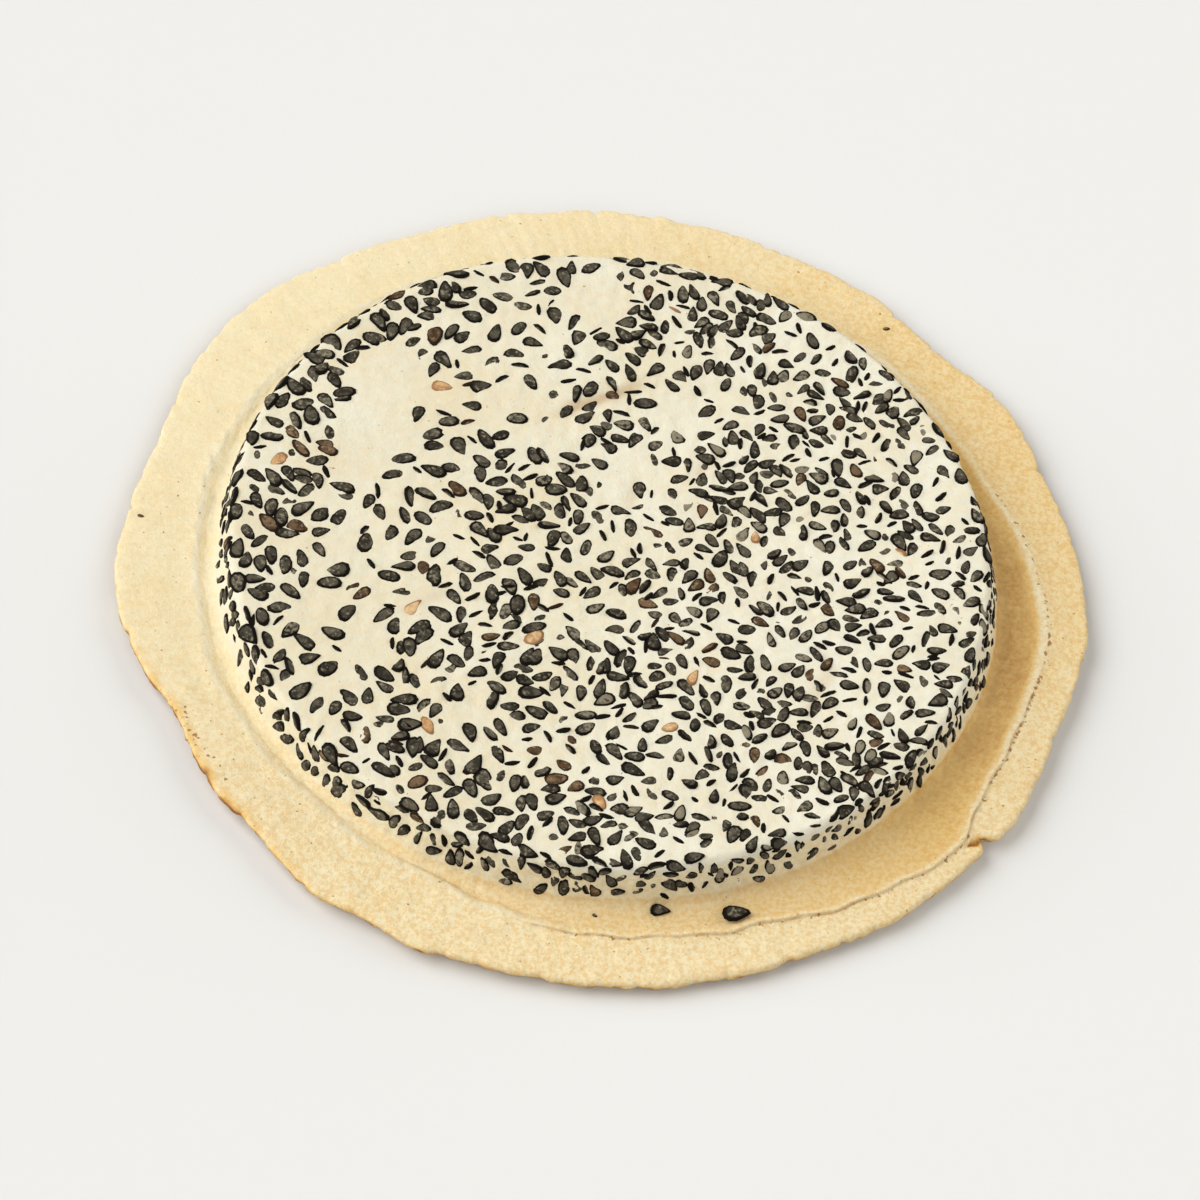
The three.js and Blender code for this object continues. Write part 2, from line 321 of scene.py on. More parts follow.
def hollow_stretch():
    """From the fillet to the lip: straight in radius, and in height a bowl that rises as t^3."""
    t = steps(7)
    inner, outer = FOOT + FOOT_FILLET, CREST - LIP_REACH
    radius = inner + (outer - inner) * t
    return radius, flange_height(radius) + LIP * (0.9 * t ** 3 - 0.5)


print("the hollow is up to", round(float((CREST - LIP_REACH - FOOT - FOOT_FILLET).max()), 1), "mm wide")

# %% From the lip to the rest
def lip_stretch():
    """The lip: heights as shares of its own, for a torn layer's edge at the front (a slope, a sharp
    crest and a step down behind it) and for a soft ridge at the right, mixed by STEP."""
    offset = np.array([-0.3, -0.12, 0.0, 0.1, 0.2, 0.32, LIP_REACH])[:, None]
    torn = np.array([0.54, 0.64, 0.60, 0.40, -0.22, -0.25, -0.18])[:, None]
    soft = np.array([0.52, 0.60, 0.62, 0.60, 0.55, 0.47, 0.34])[:, None]
    radius = CREST + offset
    return radius, flange_height(radius) + LIP * (STEP * torn + (1 - STEP) * soft)


def flange_stretch():
    """From the lip out to the edge: straight in radius, the step or the ridge fading out."""
    t = steps(9)
    inner, outer = CREST + LIP_REACH, EDGE - EDGE_ROUNDING
    radius = inner + (outer - inner) * t
    return radius, flange_height(radius) + LIP * (0.34 - 0.52 * STEP) * (1 - t) ** 2


def edge_stretch():
    """Half an oval: radius + R sin(180 t), height + half the thickness times sin(90 - 180 t)."""
    t = steps(7)
    middle = flange_height(EDGE) - 0.5 * EDGE_THICKNESS
    radius = EDGE - EDGE_ROUNDING + EDGE_ROUNDING * sine(180 * t)
    return radius, middle + 0.5 * EDGE_THICKNESS * sine(90 - 180 * t)


def under_stretch():
    """Under the flange: straight from the edge in to the step that leads down to the rest."""
    t = steps(5)
    start = flange_height(EDGE) - EDGE_THICKNESS
    radius = (EDGE - EDGE_ROUNDING) * (1 - t) + (REST_RADIUS + REST_ROUNDING) * t
    return radius, start * (1 - t) + FLANGE_RISE * t


def rest_stretch():
    """A rounded step of the rise's height down to the rest, then flat rings towards the middle."""
    t = steps(4)
    step_radius = REST_RADIUS + REST_ROUNDING * (1 - t) + 0 * ANGLES
    step_height = FLANGE_RISE * (1 - smoothstep(t, 0, 1)) + 0 * ANGLES
    flat_radius = REST_RADIUS * (1 - steps(6) * 0.94) + 0 * ANGLES
    return np.vstack([step_radius, flat_radius]), np.vstack([step_height, 0 * flat_radius])


print("the flange's edge is", EDGE_THICKNESS, "mm thick and its underside", FLANGE_RISE, "mm up")

# %% All rings, from the rim to the rest
STRETCHES = {
    "rim": rim_stretch(), "wall": wall_stretch(), "fillet": fillet_stretch(), "hollow": hollow_stretch(),
    "lip": lip_stretch(), "flange": flange_stretch(), "edge": edge_stretch(), "under": under_stretch(),
    "rest": rest_stretch(),
}
ring_radius = np.vstack([radius for radius, _ in STRETCHES.values()])
ring_height = np.vstack([height for _, height in STRETCHES.values()])
ring_names = np.concatenate([[name] * len(radius) for name, (radius, _) in STRETCHES.items()])
print("the profile has", len(ring_names), "rings of", ROUND, "points")

# %% [markdown]
# ## Roughness of the dough
# The mould presses the top and the hollow smooth. The wall, the lip and the outer flange are
# rougher, and the torn edge is roughest. So each stretch has its own measure of roughness, and
# the waves push the rings out along the profile's own normal by that much. A Displace modifier
# with painted weights could do this too, but here the weights are one short table. A crevice
# runs on inwards from the tear in the edge, because dough splits further than it parts.

# %% Push the rings along their normals
ROUGHNESS = {"rim": 0.03, "wall": 0.07, "fillet": 0.04, "hollow": 0.015, "lip": 0.045,
             "flange": 0.055, "edge": 0.07, "under": 0.03, "rest": 0.0}
CREVICE_DEPTH = 0.5


def ring_relief(x, y, z):
    """Each ring's roughness times waves 3.5, 1.3 and 0.8 mm long."""
    points = np.stack([x, y, z], -1).reshape(-1, 3)
    swing = 0.6 * waves(points, 3.5, 21) + 0.6 * waves(points, 1.3, 22) + 0.45 * waves(points, 0.8, 23)
    amount = np.array([ROUGHNESS[name] for name in ring_names])[:, None]
    return amount * swing.reshape(x.shape)


def on_rings(*names):
    """True on the rings of the named stretches, as a column."""
    return np.isin(ring_names, names)[:, None]


def crevice():
    """1 along the crevice that slants in from the tear, a bell over the angle, which fades out
    nearly 3 mm from the edge."""
    inwards = EDGE - ring_radius
    line = bell(between(ANGLES, TEAR_ANGLE - 1.1 * inwards), 0.4)
    return line * (1 - smoothstep(inwards, 1.6, 2.8)) * on_rings("flange", "edge")


def displaced_rings():
    """Rings moved by the relief, less the crevice, along (-dz, dr), the normal of the profile from
    ring to ring. Near the top the moved height also follows the top's own relief, fading out down
    the rim, and no ring leaves the edge or sinks below the rest."""
    dr, dz = np.gradient(ring_radius, axis=0), np.gradient(ring_height, axis=0)
    size = np.maximum(np.hypot(dr, dz), 1e-9)
    x, y = ring_radius * sine(ANGLES + 90), ring_radius * sine(ANGLES)
    push = ring_relief(x, y, ring_height) - CREVICE_DEPTH * crevice()
    radius = ring_radius - push * dz / size
    fade = np.where(ring_names == "rim", 1 - (np.arange(len(ring_names)) + 1) / RIM_RINGS, 0)[:, None]
    height = ring_height + push * dr / size + fade * top_relief(x, y)
    radius = np.minimum(radius, edge_radius(ANGLES) - 0.06)
    return radius * sine(ANGLES + 90), radius * sine(ANGLES), np.maximum(height, 0)


ring_x, ring_y, ring_z = displaced_rings()
ring_points = np.stack([ring_x, ring_y, ring_z], -1).reshape(-1, 3)
print("the rings lie between", ring_z.min().round(3), "and", ring_z.max().round(3), "mm")

# %% [markdown]
# ## Into a mesh
# The arrays go into Blender in one piece: all points, then the corners of all faces. That is far
# quicker than adding faces one by one. The border of the grid joins the first ring, each ring
# joins the next, and a fan closes the underside, so that the dough is one closed skin.

# %% One mesh from arrays
def make_piece(name, points, quads, triangles, values):
    """A smooth mesh object from points in mm and faces as rows of point numbers, with one named
    float attribute for each entry of `values`."""
    mesh = bpy.data.meshes.new(name)
    corners = np.concatenate([quads.ravel(), triangles.ravel()])
    sizes = np.concatenate([np.full(len(quads), 4), np.full(len(triangles), 3)])
    mesh.vertices.add(len(points))
    mesh.loops.add(len(corners))
    mesh.polygons.add(len(sizes))
    mesh.vertices.foreach_set("co", ((points - MIDDLE) * MM).astype(np.float32).ravel())
    mesh.loops.foreach_set("vertex_index", corners.astype(np.int32))
    mesh.polygons.foreach_set("loop_start", (np.cumsum(sizes) - sizes).astype(np.int32))
    mesh.update(calc_edges=True)
    mesh.validate()
    for key, value in values.items():
        mesh.attributes.new(key, "FLOAT", "POINT").data.foreach_set("value", value.astype(np.float32))
    mesh.shade_smooth()
    piece = bpy.data.objects.new(name, mesh)
    bpy.context.scene.collection.objects.link(piece)
    print(name, "has", len(points), "points and", int((sizes - 2).sum()), "triangles")
    return piece


def band_faces(inner, outer):
    """Quads from the inner points to the outer ones and back, going round anticlockwise."""
    return np.stack([inner, outer, np.roll(outer, -1, -1), np.roll(inner, -1, -1)], -1).reshape(-1, 4)


def ring_faces(first, rings):
    """Quads between neighbouring rings, whose points start at number `first`."""
    index = first + np.arange(rings * ROUND).reshape(rings, ROUND)
    return band_faces(index[:-1], index[1:])


ring_start = len(top_points)
last_ring = ring_start + (len(ring_names) - 1) * ROUND + np.arange(ROUND)
centre_point = ring_start + len(ring_points)
dough_points = np.vstack([top_points, ring_points, [[0, 0, 0]]])
dough_quads = np.vstack([
    grid_quads(CELLS),
    band_faces(grid_border(CELLS)[None], ring_start + np.arange(ROUND)[None]),
    ring_faces(ring_start, len(ring_names)),
])
dough_fan = np.stack([last_ring, np.full(ROUND, centre_point), np.roll(last_ring, -1)], -1)

# %% [markdown]
# ## Where the dough browned, and where light and shade are painted
# Colour follows the baking. The disc stays ivory, because it is thick and full of steam. The thin
# flange turns cream, and honey-coloured on the right. The torn edge and the underside touched
# the iron longest. Some colour is painted light: painted shade warms and darkens the hollow under
# the wall, the front and the foot of the wall, the creases, the step behind the lip, the crevice
# and the pores, and a painted highlight pales the bead and the ridge. Six numbers at each point
# carry this to the material: how far the point is on the flange, how toasted or shaded it is, how
# much painted shade it has in a crease, behind the lip or in the hollow, how porous it is, how
# coarse its grain is, and how pale the disc is there. A painted image could do this too, but
# numbers at the points need no unwrapping and stay as sharp as the mesh.

# %% Lines and stretches that brown in their own way
RING_NUMBERS = np.arange(len(ring_names))[:, None]
EDGE_START = np.argmax(ring_names == "edge")  # the number of the edge's first ring
RIGHT_SIDE = smoothstep(TURN, -60, -15) * (1 - smoothstep(TURN, -5, 65))


def ring_waves(size, start):
    """The sum of waves, as above, at each ring point."""
    return waves(ring_points, size, start).reshape(ring_x.shape)


def facing(degrees, width):
    """A bell over the angle round the cracker, with its middle at the given degrees."""
    return bell(between(ANGLES, degrees), width)


def painted_highlight_line():
    """Where a painted highlight pales the dough: 1 along the middle of the bead, and of the ridge at
    the right, which is wider: a bell over the distance from the line."""
    bead = 1 - smoothstep(TURN, -98, -84) * (1 - smoothstep(TURN, 24, 44))
    wide = 0.3 * bell(TURN + 2, 20)
    return np.maximum(bead, bell(TURN - 8, 24)) * bell(ring_radius - CREST + 0.1 + wide, 0.26 + wide)


def torn_open():
    """1 where the lip is torn, round the front and the right, 0 past its two ends."""
    return smoothstep(RAISED, 0.7, 1) * smoothstep(TURN, -98, -86)


def hollow_browning_and_shade():
    """Honey in the hollow, partly browning and partly painted shade under the wall: deepest at the right,
    less at the front, and nothing from the lip outwards.
    """
    way_out = (ring_radius - FOOT) / (CREST - FOOT) + 0.12 * bell(TURN, 22)
    deepness = 0.46 * RIGHT_SIDE + 0.13 * bell(TURN + 50, 18) + 0.13 * bell(TURN + 85, 30)
    return (1 - smoothstep(way_out, 0.9, 1.03)) * deepness


print("the lip is torn open round", round(360 * float((torn_open() > 0.5).mean())), "degrees")

# %% The six numbers at each point
PART_FLANGE = {"rim": 0.0, "wall": 0.3, "fillet": 0.8}


def ring_flange():
    """0 on the rim, a third on the wall and more at its front, which is painted shade there, 1 from
    the fillet outwards, less some along the bead and the ridge at the right, a pale painted highlight."""
    share = np.array([PART_FLANGE.get(name, 1.0) for name in ring_names])[:, None] + 0 * ring_x
    # painted shade: the front of the wall, which lies in shade, is mixed further towards cream
    share += 0.36 * on_rings("wall") * facing(-64, 34)
    # painted highlight: the bead and the ridge are mixed back towards ivory, paler where light catches them
    return share - (0.65 - 0.45 * facing(8, 24)) * painted_highlight_line()


def ring_toast():
    """On the flange, honey at the right, deeper in the hollow, where it is partly painted shade, with
    a scorched stretch of edge at the front left, a crevice darkened to brown as painted shade, and a
    pale painted highlight along the ridge. The edge browns from its middle down, the underside is
    golden, and the wall has a little honey low at the right and at its front, painted shade. Slow
    waves break all of it up."""
    mottle, patch = ring_waves(7, 31), ring_waves(2.2, 32)
    rightward, front = bell(TURN - 32, 39), bell(TURN + 80, 40)
    scorch = 0.95 * facing(-141, 11) * bell(ring_radius - EDGE + 0.1, 0.5) * (0.6 + 0.2 * patch)
    # the hollow's honey is partly browning and partly painted shade cast by the wall
    toast = 0.04 + 0.26 * rightward + 0.03 * front + hollow_browning_and_shade() + scorch
    # painted highlight: less toast along the ridge at the right; painted shade: the crevice turns brown and
    # dark brown
    toast = toast + 0.02 * mottle + 0.01 * patch - 0.3 * painted_highlight_line() * rightward + crevice()
    below = smoothstep(RING_NUMBERS - EDGE_START, 0.5, 4)
    burnt = 0.6 + 0.2 * patch - 0.3 * facing(5, 40) + 0.4 * facing(-146, 10)
    toast = np.where(on_rings("edge"), toast + burnt * below + 0.04, toast)
    toast = np.where(on_rings("under"), 0.62 + 0.12 * patch + 0.05 * mottle, toast)
    toast = np.where(on_rings("rest"), 0.38 + 0.07 * patch + 0.08 * mottle, toast)
    # painted shade: a little honey on the front of the wall, and more low on it at the right beside the
    # shaded hollow
    shaded = facing(-60, 40) * smoothstep(TOP_HEIGHT - 0.3 - ring_height, 0, 2.0)
    low = RIGHT_SIDE * smoothstep(FLANGE_TOP + 2.4 - ring_height, 0, 1.4)
    side = 0.01 + 0.02 * shaded + 0.22 * low + 0.01 * mottle
    return np.clip(np.where(on_rings("rim", "wall"), side, toast), 0, 1)


def ring_painted_shade():
    """Painted shade: the dark line at the step behind the lip, a bell broken up by waves, and a darker
    stretch of the hollow at the front right, where the wall's shade falls."""
    behind = bell(ring_radius - CREST - 0.18, 0.07) * torn_open() * smoothstep(STEP, 0, 0.3)
    # painted shade in the hollow at the front right
    dull = 0.16 * facing(-50, 25) * on_rings("hollow", "fillet")
    return behind * (0.55 + 0.3 * ring_waves(1.6, 33)) + dull


def ring_pores():
    """A narrow band of open pores along the outer side of the lip, a crumbly patch at the front left,
    and a few pores all over the flange. They show as dark dots, painted shade in their pits."""
    band = (0.6 + 0.5 * facing(-10, 14)) * bell(ring_radius - CREST - 0.3, 0.2) * torn_open()
    crumbly = 0.6 * facing(-145, 6) * bell(ring_radius - 50, 1.0)
    return 0.1 * on_rings("lip", "flange", "edge") + band + crumbly


def ring_grain():
    """How coarse the grain is: most at the front right, least at the back left, little on the
    wall, in step with the share of flange."""
    frontward = smoothstep(sine(ANGLES + 125), -1, 0.3)
    return (0.24 + 0.66 * frontward) * np.clip(ring_flange(), 0.15, 1)


def on_dough(top, rings, centre):
    """One array for the whole dough: the top's values, the rings' and the underside's middle."""
    return np.concatenate([top, rings.ravel(), [centre]])


top_toast = np.clip(0.03 + 0.02 * waves(top_points, 9, 34) + 0.02 * bell(top_x + 25, 14), 0, 1)
dough = make_piece("cracker_dough", dough_points, dough_quads, dough_fan, {
    "flange": on_dough(0 * top_x, ring_flange(), 1.0),
    "toast": on_dough(top_toast, ring_toast(), 0.4),
    # painted shade: darker in the folds of the top, at the step behind the lip and in the hollow at the
    # front right
    "painted_shade": on_dough(4.0 * crease_depth(top_x, top_y), np.clip(ring_painted_shade(), 0, 1), 0.0),
    "pores": on_dough(0 * top_x, ring_pores(), 0.0),
    "grain": on_dough(0.1 + 0 * top_x, ring_grain(), 0.4),
    "pale": on_dough(smoothstep(top_x, -15, 30), smoothstep(ring_x, -15, 30), 0.0),
})

# %% [markdown]
# ## The dough's finish
# Dry baked dough is matt and slightly see-through at its edges, so it gets a little light under
# its skin. Its colour is mixed from ivory, cream, honey and brown by the six numbers, with
# fine grain and a few pores over it, and the same grain lifts it as a low bump. The grain is
# too fine to be mesh: a bump costs no triangles. A few helpers keep the node tree readable.

# %% Small helpers for materials
def new_material(name, roughness):
    """A material with its Principled shader, its node tree and a given roughness."""
    material = bpy.data.materials.new(name)
    material.use_nodes = True
    shader = material.node_tree.nodes["Principled BSDF"]
    shader.inputs["Roughness"].default_value = roughness
    return material, material.node_tree, shader


def add_node(tree, kind, **settings):
    """A new node, with its settings and its unlinked inputs set by name."""
    node = tree.nodes.new(kind)
    for key, value in settings.items():
        if key in node.inputs:
            node.inputs[key].default_value = value
        else:
            setattr(node, key, value)
    return node


def attribute(tree, name):
    """The value of one of the piece's own attributes."""
    return add_node(tree, "ShaderNodeAttribute", attribute_name=name).outputs["Fac"]

# %% Helpers that give, mix and raise values
def noise(tree, size, detail=2.0, roughness=0.5):
    """Noise over the object, whose usual bump is `size` millimetres wide."""
    place = add_node(tree, "ShaderNodeTexCoord").outputs["Object"]
    node = add_node(tree, "ShaderNodeTexNoise", Scale=0.5 / (size * MM), Detail=detail, Roughness=roughness)
    tree.links.new(place, node.inputs["Vector"])
    return node.outputs["Fac"]


def span(tree, value, low, high, to_low=0.0, to_high=1.0):
    """The value's stretch from low to high, taken to to_low and to_high and held there."""
    node = add_node(tree, "ShaderNodeMapRange")
    tree.links.new(value, node.inputs["Value"])
    for key, number in (("From Min", low), ("From Max", high), ("To Min", to_low), ("To Max", to_high)):
        node.inputs[key].default_value = number
    return node.outputs["Result"]


def calculate(tree, operation, first, second):
    """One sum of two values, either of which may be a plain number."""
    node = add_node(tree, "ShaderNodeMath", operation=operation)
    for socket, value in zip(node.inputs, (first, second)):
        if isinstance(value, (int, float)):
            socket.default_value = value
        else:
            tree.links.new(value, socket)
    return node.outputs["Value"]


def mix_colour(tree, share, first, second, blend="MIX"):
    """Two colours, each a tuple or a socket, mixed by a share."""
    node = add_node(tree, "ShaderNodeMix", data_type="RGBA", blend_type=blend)
    sockets = node.inputs["Factor"], node.inputs[6], node.inputs[7]
    for socket, value in zip(sockets, (share, first, second)):
        if isinstance(value, tuple):
            socket.default_value = (*value, 1.0)
        elif isinstance(value, (int, float)):
            socket.default_value = value
        else:
            tree.links.new(value, socket)
    return node.outputs[2]


def bump(tree, height, distance, strength=1.0, below=None):
    """A bump of `distance` millimetres over the given height, on top of another bump."""
    node = add_node(tree, "ShaderNodeBump", Strength=strength, Distance=distance * MM)
    tree.links.new(height, node.inputs["Height"])
    if below is not None:
        tree.links.new(below, node.inputs["Normal"])
    return node.outputs["Normal"]

# %% The dough's material
# Colours as linear red, green and blue
IVORY, PALE = (0.77, 0.72, 0.55), (0.83, 0.81, 0.68)
CREAM, HONEY = (0.86, 0.765, 0.52), (0.80, 0.58, 0.24)
BROWN, DARK_BROWN = (0.45, 0.21, 0.06), (0.16, 0.06, 0.02)
# the last two paint shade: in creases, behind the lip and in the hollow, and in the pores' pits
GRAIN_TINT, PAINTED_SHADE_BROWN, PORE_BROWN = (0.92, 0.77, 0.57), (0.50, 0.30, 0.12), (0.40, 0.22, 0.08)


def dough_material():
    """Ivory to cream by the flange, then honey, brown and dark brown as the toast rises, partly
    painted shade in the hollow, at the wall and along the crevice, with pale and warm patches, fine
    grain, pores darkened as painted shade, and painted shade darker still in the creases, behind the
    lip and in the hollow at the front right."""
    material, tree, shader = new_material("baked_dough", 0.78)
    keys = ("flange", "toast", "painted_shade", "pores", "grain", "pale")
    on_flange, toast, painted_shade, pores, coarse, pale = (attribute(tree, key) for key in keys)
    patches = noise(tree, 5.0, 3.0)
    grain = noise(tree, 0.27, 3.0, 0.75)
    speckle = noise(tree, 0.55, 1.0)
    pale_patches = span(tree, patches, 0.35, 0.65, 0.0, 0.65)
    paleness = calculate(tree, "ADD", pale_patches, span(tree, pale, 0, 1, 0, 0.5))
    disc = mix_colour(tree, paleness, IVORY, PALE)
    colour = mix_colour(tree, on_flange, disc, CREAM)
    rough_toast = calculate(tree, "ADD", toast, span(tree, speckle, 0.35, 0.7, -0.04, 0.05))
    colour = mix_colour(tree, span(tree, rough_toast, 0.0, 0.5), colour, HONEY)
    colour = mix_colour(tree, span(tree, rough_toast, 0.55, 0.95), colour, BROWN)
    colour = mix_colour(tree, span(tree, rough_toast, 0.9, 1.15), colour, DARK_BROWN)
    grain_share = calculate(tree, "MULTIPLY", span(tree, grain, 0.42, 0.6), coarse)
    colour = mix_colour(tree, grain_share, colour, GRAIN_TINT, "MULTIPLY")
    # painted shade: darker brown in the creases, behind the lip and in the hollow at the front right
    colour = mix_colour(tree, span(tree, painted_shade, 0.0, 1.0, 0.0, 0.75), colour, PAINTED_SHADE_BROWN)
    # painted shade: the pores show as brown dots, the shade in their pits
    pitted = calculate(tree, "ADD", noise(tree, 0.26, 1.0), calculate(tree, "MULTIPLY", pores, 0.24))
    colour = mix_colour(tree, span(tree, pitted, 0.76, 0.84), colour, PORE_BROWN)
    tree.links.new(colour, shader.inputs["Base Color"])
    uneven = bump(tree, noise(tree, 1.1, 2.0), 0.05, 0.5)
    tree.links.new(bump(tree, grain, 0.13, 1.0, uneven), shader.inputs["Normal"])
    shader.inputs["Specular IOR Level"].default_value = 0.25
    shader.inputs["Subsurface Weight"].default_value = 0.12
    shader.inputs["Subsurface Radius"].default_value = (1.0, 0.6, 0.3)
    shader.inputs["Subsurface Scale"].default_value = 0.0012
    return material


dough.data.materials.append(dough_material())
print("the dough's finish has", len(dough.data.materials[0].node_tree.nodes), "nodes")

# %% [markdown]
# ## Where the seeds lie
# The largest seeds stand where the solid model has them. A particle system would scatter them
# somewhere else. A simple draw, a fixed starting number multiplied and divided again and again,
# gives the same places there and here. Each try is kept only if the dough isn't bare there and
# no other seed is too near.

# %% The first seeds, as on the solid
BARE_PATCHES = [  # x, y and radius of the places without seeds
    (-27, 18.5, 5), (-27.5, 11.5, 5), (-28.5, 6, 3.5), (-28.5, -5, 2.5), (-30.5, -14.5, 3),
    (-24, -17, 2.8), (-12.5, -24.5, 2.5), (-6, 34.5, 4), (-14, 18, 2.5), (-7.5, 14, 2.5),
    (0.5, 11.5, 3), (4.5, 21, 3),
]
TOP_GAP, WALL_GAP, TOP_TRIES, WALL_TRIES = 4.15, 5.0, 2600, 420
UP = np.array([0.0, 0.0, 1.0])
DRAW_START = 20240611


def make_seed(point, normal, heading, size, kind):
    """One seed: its place in mm, the dough's normal there, the turn of its length in radians, its
    size as a share of the usual one, and how it lies."""
    return {"point": point, "normal": normal, "heading": heading, "size": size, "kind": kind}


def round_point(radius, turn, height):
    """The point at a radius, a turn in radians and a height."""
    return np.array([radius * np.cos(turn), radius * np.sin(turn), height])


def make_draw(start):
    """Each call multiplies the state by 48271, keeps the remainder by 2147483647, and gives it as
    a number between 0 and 1."""
    state = start

    def draw():
        """The next number."""
        nonlocal state
        state = state * 48271 % 2147483647
        return state / 2147483647

    return draw


def is_bare(x, y):
    """True within one of the bare patches."""
    return any(np.hypot(x - px, y - py) < radius for px, py, radius in BARE_PATCHES)


def size_at(x):
    """1 at the left, easing to 0.86 at the right, where the seeds sank deeper into the dough."""
    return 1 - 0.14 * smoothstep(x, -20, 25)


def wall_place(turn, up):
    """A point on the wall's slope and its normal, at an angle in radians and a share of height."""
    angle = np.degrees(turn)
    rim = RIM_RADIUS + rim_wobble(angle)
    foot = FOOT_RADIUS - FOOT_FILLET + rim_wobble(angle + 15)
    radius = foot + (rim - foot) * up
    slope = (FOOT_RADIUS - FOOT_FILLET - RIM_RADIUS) / (WALL_HIGH - WALL_LOW)
    normal = round_point(1, turn, slope)
    point = round_point(radius, turn, WALL_LOW + (WALL_HIGH - WALL_LOW) * up)
    return point, normal / np.linalg.norm(normal)


def first_seeds(draw):
    """Places on the top, then on the wall, no nearer to each other than the two gaps."""
    seeds = []

    def keep(point, normal, heading, size, gap):
        """Adds the seed if every earlier one is at least the gap away."""
        if all(np.linalg.norm(point - seed["point"]) >= gap for seed in seeds):
            seeds.append(make_seed(point, normal, heading, size * size_at(point[0]), "flat"))

    for _ in range(TOP_TRIES):
        distance = (TOP_RADIUS - 1.2) * np.sqrt(draw())
        turn, heading, size = 2 * np.pi * draw(), 2 * np.pi * draw(), 0.9 + 0.2 * draw()
        point = round_point(distance, turn, TOP_HEIGHT)
        if not is_bare(*point[:2]):
            keep(point, UP, heading, size, TOP_GAP)
    for _ in range(WALL_TRIES):
        turn, up = 2 * np.pi * draw(), 0.25 + 0.55 * draw()
        heading, size = 2 * np.pi * draw(), 0.85 + 0.15 * draw()
        keep(*wall_place(turn, up), heading, size, WALL_GAP)
    return seeds


draw = make_draw(DRAW_START)
seeds = first_seeds(draw)
print("the solid's own seeds:", len(seeds))

# %% [markdown]
# ## The seeds between them
# A real cracker has many more: some flat, some half under the dough, some on edge so that only a
# sliver shows. They are drawn from the same run of numbers. Each seed's footprint is three small
# circles along its length, so that long seeds may lie side by side and seldom cross. Crowded
# patches take seeds closer together, and sparse ones turn most of them away.

# %% Where the seeds crowd
CROWDED_PATCHES = [  # x, y and radius of the places where seeds lie closest
    (-26, 29, 4), (-31, 24, 3), (-36, 17, 5), (-34, 6, 5), (-37, -3, 5), (-36, -10, 4),
    (-36, -18, 4), (-34, -25, 3), (4, 38, 6), (10, 36, 4), (2, 26, 3), (28, 28, 4), (-2, 17, 3),
    (12, 11, 4), (-13, 4, 4), (-7, 6, 3.5), (-11, -9, 3), (8, -10, 3), (-7, -13, 3), (-16, -37, 3),
    (-19, -28, 4), (0, -19, 4), (18, -18, 4), (1, -40, 6), (4, -36, 3), (32, -24, 5), (38, -10, 2),
]
SPARSE_PATCHES = [  # x, y and radius of the places with few seeds
    (-17, 27, 6), (-10, 26, 5), (-20, 14, 6), (-12, 17, 6), (-22, 4, 4), (-9, 20, 5), (3, 12, 6),
    (6, 22, 5), (-28, -10, 7), (-27, -22, 6), (-24, -6, 4), (36, 17, 5), (19, 36, 7), (-12, -26, 4),
    (20, -11, 4), (9, -28, 4), (29, -15, 4), (19, -38, 3), (-33, 28, 3), (-30, 0, 3), (-18, -5, 5),
    (-28, -28, 4), (8, 19, 4), (-33, -18, 3), (0, -9, 3), (-19, 9, 4), (0, 2, 3), (-1, -28, 3),
]


def crowding(x, y):
    """0.88 at the left to 1 at the right, cut by up to 60 % in a sparse patch, plus up to 0.75 in
    a crowded one, each patch being a bell, and 0 where the dough is bare."""
    if is_bare(x, y):
        return 0.0
    crowded = max(bell(np.hypot(x - px, y - py), 0.8 * radius) for px, py, radius in CROWDED_PATCHES)
    sparse = max(bell(np.hypot(x - px, y - py), 0.7 * radius) for px, py, radius in SPARSE_PATCHES)
    return (0.88 + 0.12 * smoothstep(x, -25, 15)) * (1 - 0.6 * sparse) + 0.75 * crowded


print("crowding in the middle:", round(float(crowding(0, 0)), 2))

# %% A place and a kind for each try
KINDS = {  # shares at the left and at the right
    "flat": (0.66, 0.40), "skinned": (0.12, 0.20), "tilted": (0.14, 0.28), "edgewise": (0.08, 0.12),
}
TOP_SHARE, BESIDE_SHARE, RIM_SHARE = 0.74, 0.3, 0.07  # of the tries; the rest go to the wall


def dough_axes(normal):
    """+X and +Y leant over with a normal: (1 - x x / (1 + z), -x y / (1 + z), -x) and the same for
    y, from the normal's x, y and z."""
    nx, ny, nz = np.moveaxis(normal, -1, 0)
    east = np.stack([1 - nx * nx / (1 + nz), -nx * ny / (1 + nz), -nx], -1)
    north = np.stack([-nx * ny / (1 + nz), 1 - ny * ny / (1 + nz), -ny], -1)
    return east, north


def footprint(seed):
    """Three points, 0.3 of the length apart, along the seed."""
    east, north = dough_axes(seed["normal"])
    along = np.cos(seed["heading"]) * east + np.sin(seed["heading"]) * north
    return seed["point"] + np.outer([-0.3, 0.0, 0.3], along) * SEED_LENGTH * seed["size"]


def rim_place(turn, lean):
    """A point on the rounded rim and its normal, leaning out from 0 at the top to 1 at the wall."""
    out, up = np.sin(lean * np.pi / 2), np.cos(lean * np.pi / 2)
    radius = RIM_RADIUS + rim_wobble(np.degrees(turn)) - RIM_ROUNDING * (1 - out)
    return round_point(radius, turn, TOP_HEIGHT - RIM_ROUNDING * (1 - up)), round_point(out, turn, up)


